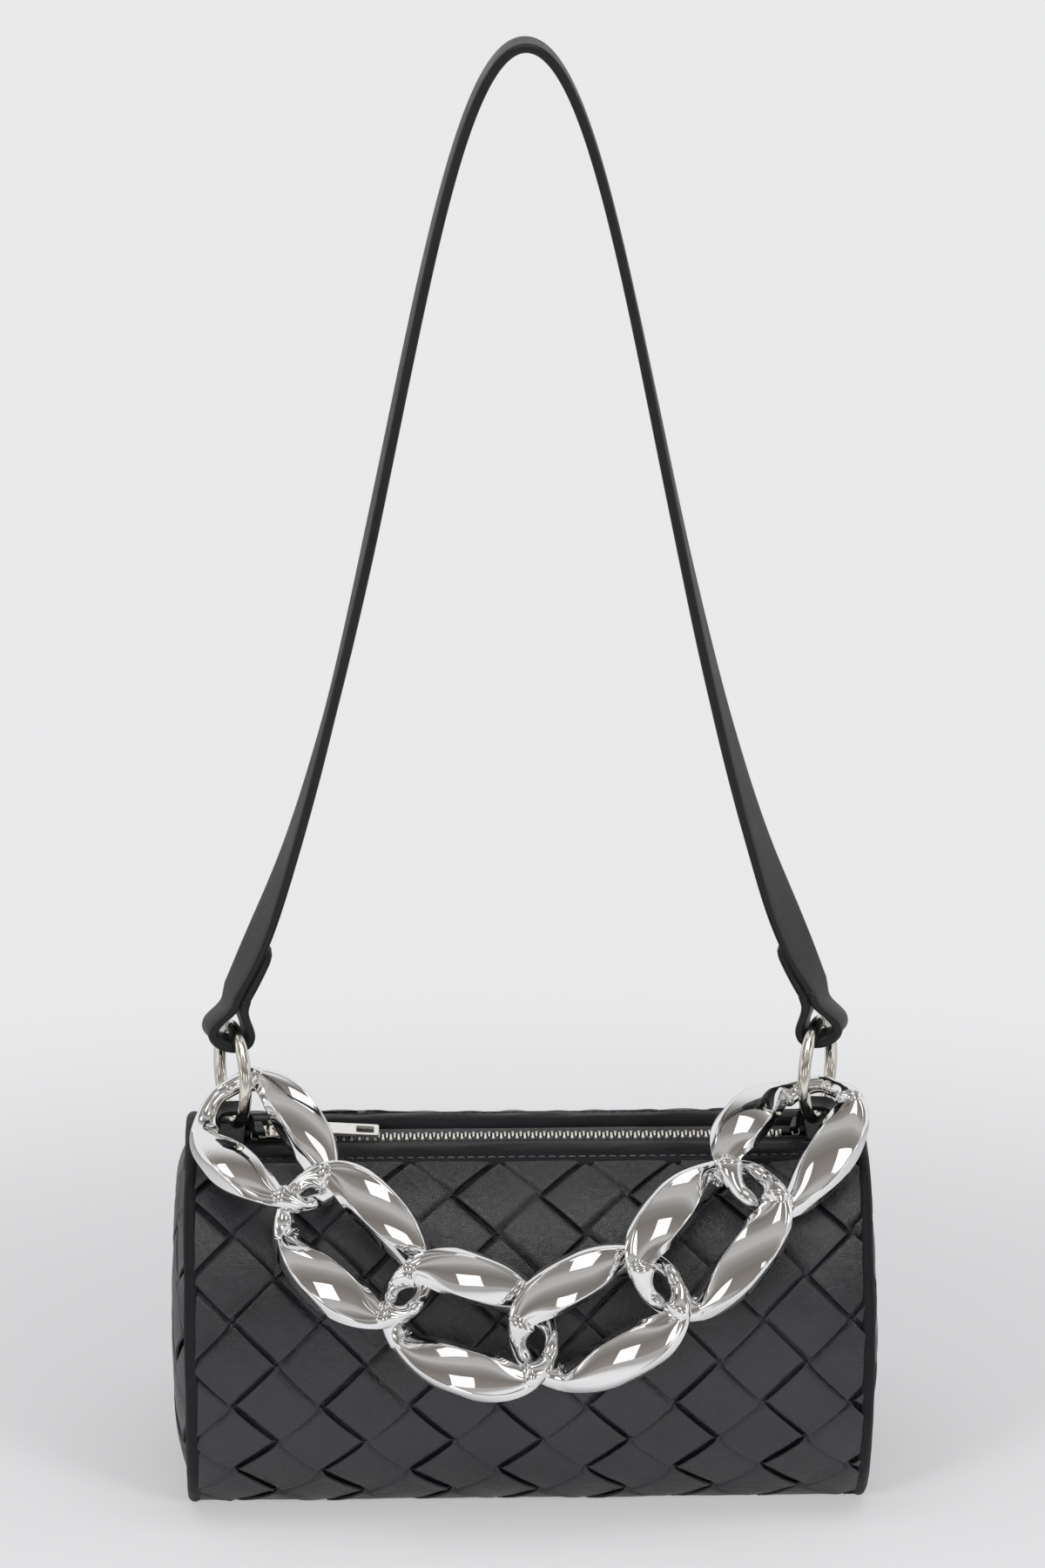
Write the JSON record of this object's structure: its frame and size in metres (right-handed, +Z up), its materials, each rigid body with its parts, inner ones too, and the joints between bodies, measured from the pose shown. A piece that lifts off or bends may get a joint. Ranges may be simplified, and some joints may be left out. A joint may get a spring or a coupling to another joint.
{
  "type": "chain shoulder bag",
  "caption": "Small barrel bag of woven leather strips with a top zip, a leather shoulder strap on metal rings and a chunky curb chain draped across its front.",
  "frame": {"origin": "middle of the flat base, on the surface that the bag stands on", "axes": "+X along the bag to its right seen from the front, -Y out of the front where the chain hangs, +Z up to the strap"},
  "size_m": [0.2392, 0.1586, 0.5016],
  "materials": {
    "woven_leather": "satin, fine grain",
    "smooth_leather": "satin, fine grain",
    "strap_leather": "satin, painted edges",
    "lining_cloth": "plain weave",
    "base_board": "matt",
    "zip_tape": "fine twill",
    "pale_nickel": "polished, slightly warm",
    "chrome_plate": "chrome-plated, mirror polish"
  },
  "bodies": {
    "bag": {"body_panel": "woven_leather", "end_panel_left": "woven_leather", "end_panel_right": "woven_leather", "piping_left": "smooth_leather", "piping_right": "smooth_leather", "lining": "lining_cloth", "base_board": "base_board", "zip_facing_front": "smooth_leather", "zip_facing_back": "smooth_leather", "zip_tape_front": "zip_tape", "zip_tape_back": "zip_tape", "zip_teeth_front": "pale_nickel", "zip_teeth_back": "pale_nickel", "zip_stops": "pale_nickel", "zip_patch_left": "smooth_leather", "zip_patch_right": "smooth_leather", "tab_left": "smooth_leather", "tab_right": "smooth_leather"},
    "slider": {"zip_slider": "pale_nickel"},
    "puller": {"zip_puller": "pale_nickel"},
    "strap": {"shoulder_strap": "strap_leather"},
    "ring_left": {"ring_left": "pale_nickel"},
    "ring_right": {"ring_right": "pale_nickel"},
    "link_1": {"chain_link_1": "chrome_plate"},
    "link_2": {"chain_link_2": "chrome_plate"},
    "link_3": {"chain_link_3": "chrome_plate"},
    "link_4": {"chain_link_4": "chrome_plate"},
    "link_5": {"chain_link_5": "chrome_plate"},
    "link_6": {"chain_link_6": "chrome_plate"}
  },
  "joints": [
    {"name": "zip_slide", "type": "slide", "parent": "bag", "child": "slider", "axis": [1, 0, 0], "range_m": [0, 0.138]},
    {"name": "puller_flip", "type": "hinge", "parent": "slider", "child": "puller", "pos_m": [-0.0861, -0.00707, 0.12796], "axis": [0, -0.9945, -0.1045], "range_deg": [0, 65]},
    {"name": "strap_swing", "type": "hinge", "parent": "bag", "child": "strap", "pos_m": [0, -0.00732, 0.14703], "axis": [-1, 0, 0], "range_deg": [0, 80]},
    {"name": "ring_left_turn", "type": "hinge", "parent": "bag", "child": "ring_left", "pos_m": [-0.1, -0.00732, 0.14703], "axis": [0, 0, 1], "range_deg": [-16, 0]},
    {"name": "ring_right_turn", "type": "hinge", "parent": "bag", "child": "ring_right", "pos_m": [0.1, -0.00732, 0.14703], "axis": [0, 0, 1], "range_deg": [0, 20]},
    {"name": "chain_swing", "type": "hinge", "parent": "bag", "child": "link_1", "pos_m": [0, -0.00732, 0.14703], "axis": [-1, 0, 0], "range_deg": [0, 42]},
    {"name": "link_2_turn", "type": "hinge", "parent": "link_1", "child": "link_2", "pos_m": [-0.07599, -0.05341, 0.11778], "axis": [0, -0.9135, 0.4067], "range_deg": [-2.5, 2.5]},
    {"name": "link_3_turn", "type": "hinge", "parent": "link_2", "child": "link_3", "pos_m": [-0.04251, -0.07341, 0.0876], "axis": [0, -0.9135, 0.4067], "range_deg": [-4.47, 4.47]},
    {"name": "link_4_turn", "type": "hinge", "parent": "link_3", "child": "link_4", "pos_m": [0.00129, -0.0774, 0.07184], "axis": [0, -0.9135, 0.4067], "range_deg": [-0.104, 0.104]},
    {"name": "link_5_turn", "type": "hinge", "parent": "link_4", "child": "link_5", "pos_m": [0.04414, -0.07213, 0.09088], "axis": [0, -0.9135, 0.4067], "range_deg": [-4.58, 4.58]},
    {"name": "link_6_turn", "type": "hinge", "parent": "link_5", "child": "link_6", "pos_m": [0.07479, -0.05128, 0.11971], "axis": [0, -0.9135, 0.4067], "range_deg": [-2.71, 2.71]}
  ],
  "couplings": [
    {"joint": "ring_left_turn", "follows": "strap_swing", "ratio": -0.2},
    {"joint": "ring_right_turn", "follows": "strap_swing", "ratio": 0.25},
    {"joint": "link_3_turn", "follows": "link_2_turn", "ratio": -1.7897},
    {"joint": "link_4_turn", "follows": "link_2_turn", "ratio": 0.04118},
    {"joint": "link_5_turn", "follows": "link_2_turn", "ratio": 1.8308},
    {"joint": "link_6_turn", "follows": "link_2_turn", "ratio": -1.0823}
  ]
}
